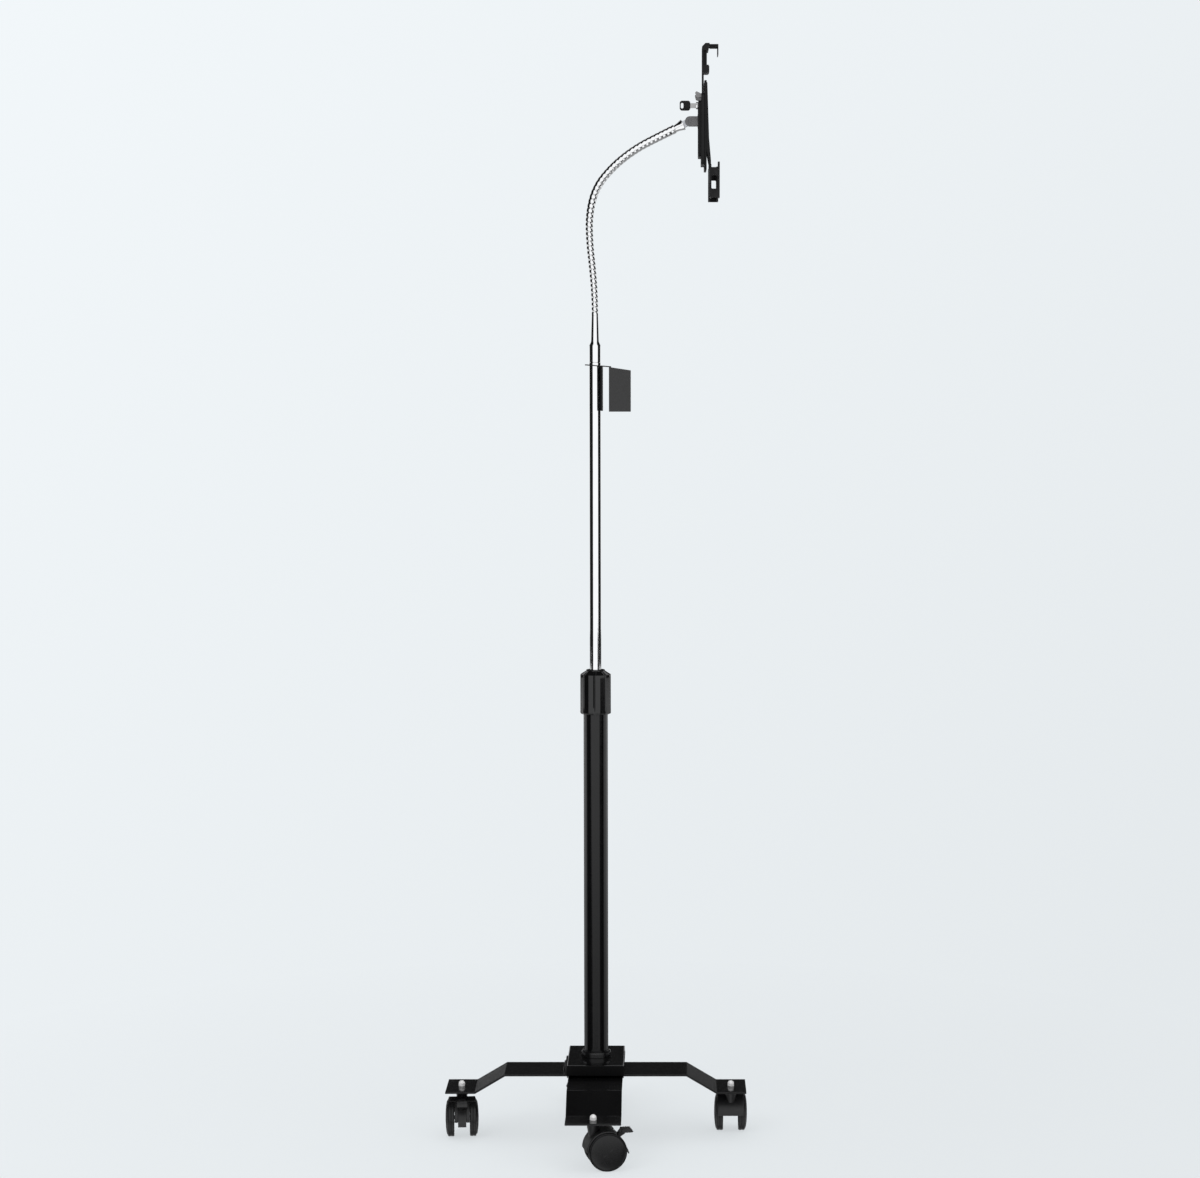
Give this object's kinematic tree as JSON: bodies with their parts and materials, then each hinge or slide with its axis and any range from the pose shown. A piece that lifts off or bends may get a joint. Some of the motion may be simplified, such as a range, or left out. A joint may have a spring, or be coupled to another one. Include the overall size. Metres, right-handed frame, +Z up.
{
  "type": "gooseneck floor stand",
  "caption": "Rolling gooseneck floor stand with a height-adjustable pole, flexible ribbed neck, lockable tablet holder and a crossed steel base on braked casters.",
  "frame": {"origin": "on the floor, under the pole's axis", "axes": "+Z up the pole; +X from the pole towards the side that the held screen faces; +Y to the rear of the base"},
  "size_m": [0.4031, 0.4006, 1.4426],
  "materials": {
    "base_black": "gloss",
    "tube_black": "satin",
    "bright_chrome": "polished",
    "zinc_steel": "zinc plated",
    "caster_black": "satin",
    "collar_black": "fine texture",
    "collet_white": "moulded",
    "pocket_grey": "satin",
    "knuckle_grey": "satin",
    "holder_black": "fine powder coat",
    "pad_black": "matt",
    "key_plastic": "moulded"
  },
  "bodies": {
    "base": {"side_bar": "base_black", "front_bar": "base_black", "hub_cover": "base_black", "pole_socket": "tube_black", "hub_bolt": "zinc_steel", "lower_tube": "tube_black", "lock_collet": "collet_white", "left_caster_stem": "bright_chrome", "right_caster_stem": "bright_chrome", "front_caster_stem": "bright_chrome", "rear_caster_stem": "bright_chrome"},
    "collar": {"lock_collar": "collar_black"},
    "upper_pole": {"upper_tube": "bright_chrome", "tube_glide": "collet_white", "pocket_bracket": "holder_black", "accessory_pocket": "pocket_grey", "lower_ferrule": "bright_chrome"},
    "neck_1": {"neck_link_1": "bright_chrome"},
    "neck_2": {"neck_link_2": "bright_chrome"},
    "neck_3": {"neck_link_3": "bright_chrome"},
    "neck_4": {"neck_link_4": "bright_chrome"},
    "neck_5": {"neck_link_5": "bright_chrome"},
    "neck_6": {"neck_link_6": "bright_chrome"},
    "neck_7": {"neck_link_7": "bright_chrome"},
    "neck_8": {"neck_link_8": "bright_chrome", "upper_ferrule": "bright_chrome"},
    "knuckle": {"knuckle": "knuckle_grey", "knuckle_pin": "zinc_steel", "swivel_bolt": "zinc_steel", "friction_washer": "collar_black"},
    "holder": {"back_cover": "holder_black", "housing": "holder_black", "arm_track": "holder_black", "lower_bracket": "holder_black", "lower_pads": "pad_black", "cover_screws": "zinc_steel"},
    "arm": {"upper_arm": "holder_black", "upper_pads": "pad_black"},
    "lock": {"lock_barrel": "bright_chrome", "key": "key_plastic"},
    "left_swivel": {"left_caster_hood": "caster_black", "left_caster_axle": "zinc_steel"},
    "left_wheel_a": {"left_caster_wheel_a": "caster_black"},
    "left_wheel_b": {"left_caster_wheel_b": "caster_black"},
    "left_brake": {"left_caster_brake": "caster_black"},
    "right_swivel": {"right_caster_hood": "caster_black", "right_caster_axle": "zinc_steel"},
    "right_wheel_a": {"right_caster_wheel_a": "caster_black"},
    "right_wheel_b": {"right_caster_wheel_b": "caster_black"},
    "right_brake": {"right_caster_brake": "caster_black"},
    "front_swivel": {"front_caster_hood": "caster_black", "front_caster_axle": "zinc_steel"},
    "front_wheel_a": {"front_caster_wheel_a": "caster_black"},
    "front_wheel_b": {"front_caster_wheel_b": "caster_black"},
    "front_brake": {"front_caster_brake": "caster_black"},
    "rear_swivel": {"rear_caster_hood": "caster_black", "rear_caster_axle": "zinc_steel"},
    "rear_wheel_a": {"rear_caster_wheel_a": "caster_black"},
    "rear_wheel_b": {"rear_caster_wheel_b": "caster_black"},
    "rear_brake": {"rear_caster_brake": "caster_black"}
  },
  "joints": [
    {"name": "pole_height", "type": "slide", "parent": "base", "child": "upper_pole", "axis": [0, 0, 1], "range_m": [-0.33, 0.03]},
    {"name": "holder_tilt", "type": "hinge", "parent": "neck_8", "child": "knuckle", "pos_m": [0.12433, 0, 1.34309], "axis": [0, 1, 0], "range_deg": [-35, 45]},
    {"name": "holder_spin", "type": "hinge", "parent": "knuckle", "child": "holder", "pos_m": [0.135, 0, 1.34309], "axis": [1, 0, 0], "range_deg": [-90, 90]},
    {"name": "arm_slide", "type": "slide", "parent": "holder", "child": "arm", "axis": [0, 0, 1], "range_m": [-0.009, 0.05]},
    {"name": "neck_bend_1", "type": "hinge", "parent": "upper_pole", "child": "neck_1", "pos_m": [0, 0, 1.093], "axis": [0, -1, 0], "range_deg": [-20, 20]},
    {"name": "neck_bend_2", "type": "hinge", "parent": "neck_1", "child": "neck_2", "pos_m": [-0.00128, 0, 1.12975], "axis": [0.9976, 0, 0.0698], "range_deg": [-20, 20]},
    {"name": "neck_bend_3", "type": "hinge", "parent": "neck_2", "child": "neck_3", "pos_m": [-0.00462, 0, 1.16638], "axis": [0, -1, 0], "range_deg": [-20, 20]},
    {"name": "neck_bend_4", "type": "hinge", "parent": "neck_3", "child": "neck_4", "pos_m": [-0.00712, 0, 1.20306], "axis": [0.9997, 0, 0.0244], "range_deg": [-20, 20]},
    {"name": "neck_bend_5", "type": "hinge", "parent": "neck_4", "child": "neck_5", "pos_m": [-0.00316, 0, 1.23952], "axis": [0, -1, 0], "range_deg": [-20, 20]},
    {"name": "neck_bend_6", "type": "hinge", "parent": "neck_5", "child": "neck_6", "pos_m": [0.01337, 0, 1.27202], "axis": [0.7649, 0, -0.6441], "range_deg": [-20, 20]},
    {"name": "neck_bend_7", "type": "hinge", "parent": "neck_6", "child": "neck_7", "pos_m": [0.03995, 0, 1.29733], "axis": [0, -1, 0], "range_deg": [-20, 20]},
    {"name": "neck_bend_8", "type": "hinge", "parent": "neck_7", "child": "neck_8", "pos_m": [0.0711, 0, 1.31679], "axis": [0.4493, 0, -0.8934], "range_deg": [-20, 20]},
    {"name": "lock_turn", "type": "hinge", "parent": "holder", "child": "lock", "pos_m": [0.135, 0, 1.36339], "axis": [1, 0, 0], "range_deg": [0, 90]},
    {"name": "collar_twist", "type": "hinge", "parent": "base", "child": "collar", "pos_m": [0, 0, 0.59], "axis": [0, 0, 1], "range_deg": [0, 90]},
    {"name": "left_brake_press", "type": "hinge", "parent": "left_swivel", "child": "left_brake", "pos_m": [-0.17786, -0.03063, 0.04088], "axis": [0.9976, 0.0698, 0], "range_deg": [0, 18]},
    {"name": "right_brake_press", "type": "hinge", "parent": "right_swivel", "child": "right_brake", "pos_m": [0.18, 0.03071, 0.04088], "axis": [-1, 0, 0], "range_deg": [0, 18]},
    {"name": "front_brake_press", "type": "hinge", "parent": "front_swivel", "child": "front_brake", "pos_m": [0.03004, -0.17361, 0.04088], "axis": [-0.2079, 0.9781, 0], "range_deg": [0, 18]},
    {"name": "rear_brake_press", "type": "hinge", "parent": "rear_swivel", "child": "rear_brake", "pos_m": [-0.03004, 0.17361, 0.04088], "axis": [0.2079, -0.9781, 0], "range_deg": [0, 18]},
    {"name": "left_swivel_turn", "type": "hinge", "parent": "base", "child": "left_swivel", "pos_m": [-0.18, 0, 0.05], "axis": [0, 0, 1], "continuous": true},
    {"name": "right_swivel_turn", "type": "hinge", "parent": "base", "child": "right_swivel", "pos_m": [0.18, 0, 0.05], "axis": [0, 0, 1], "continuous": true},
    {"name": "front_swivel_turn", "type": "hinge", "parent": "base", "child": "front_swivel", "pos_m": [0, -0.18, 0.05], "axis": [0, 0, 1], "continuous": true},
    {"name": "rear_swivel_turn", "type": "hinge", "parent": "base", "child": "rear_swivel", "pos_m": [0, 0.18, 0.05], "axis": [0, 0, 1], "continuous": true},
    {"name": "left_wheel_a_roll", "type": "hinge", "parent": "left_swivel", "child": "left_wheel_a", "pos_m": [-0.17888, -0.01596, 0.025], "axis": [0.9976, 0.0698, 0], "continuous": true},
    {"name": "left_wheel_b_roll", "type": "hinge", "parent": "left_swivel", "child": "left_wheel_b", "pos_m": [-0.17888, -0.01596, 0.025], "axis": [0.9976, 0.0698, 0], "continuous": true},
    {"name": "right_wheel_a_roll", "type": "hinge", "parent": "right_swivel", "child": "right_wheel_a", "pos_m": [0.18, 0.016, 0.025], "axis": [-1, 0, 0], "continuous": true},
    {"name": "right_wheel_b_roll", "type": "hinge", "parent": "right_swivel", "child": "right_wheel_b", "pos_m": [0.18, 0.016, 0.025], "axis": [-1, 0, 0], "continuous": true},
    {"name": "front_wheel_a_roll", "type": "hinge", "parent": "front_swivel", "child": "front_wheel_a", "pos_m": [0.01565, -0.17667, 0.025], "axis": [-0.2079, 0.9781, 0], "continuous": true},
    {"name": "front_wheel_b_roll", "type": "hinge", "parent": "front_swivel", "child": "front_wheel_b", "pos_m": [0.01565, -0.17667, 0.025], "axis": [-0.2079, 0.9781, 0], "continuous": true},
    {"name": "rear_wheel_a_roll", "type": "hinge", "parent": "rear_swivel", "child": "rear_wheel_a", "pos_m": [-0.01565, 0.17667, 0.025], "axis": [0.2079, -0.9781, 0], "continuous": true},
    {"name": "rear_wheel_b_roll", "type": "hinge", "parent": "rear_swivel", "child": "rear_wheel_b", "pos_m": [-0.01565, 0.17667, 0.025], "axis": [0.2079, -0.9781, 0], "continuous": true}
  ]
}
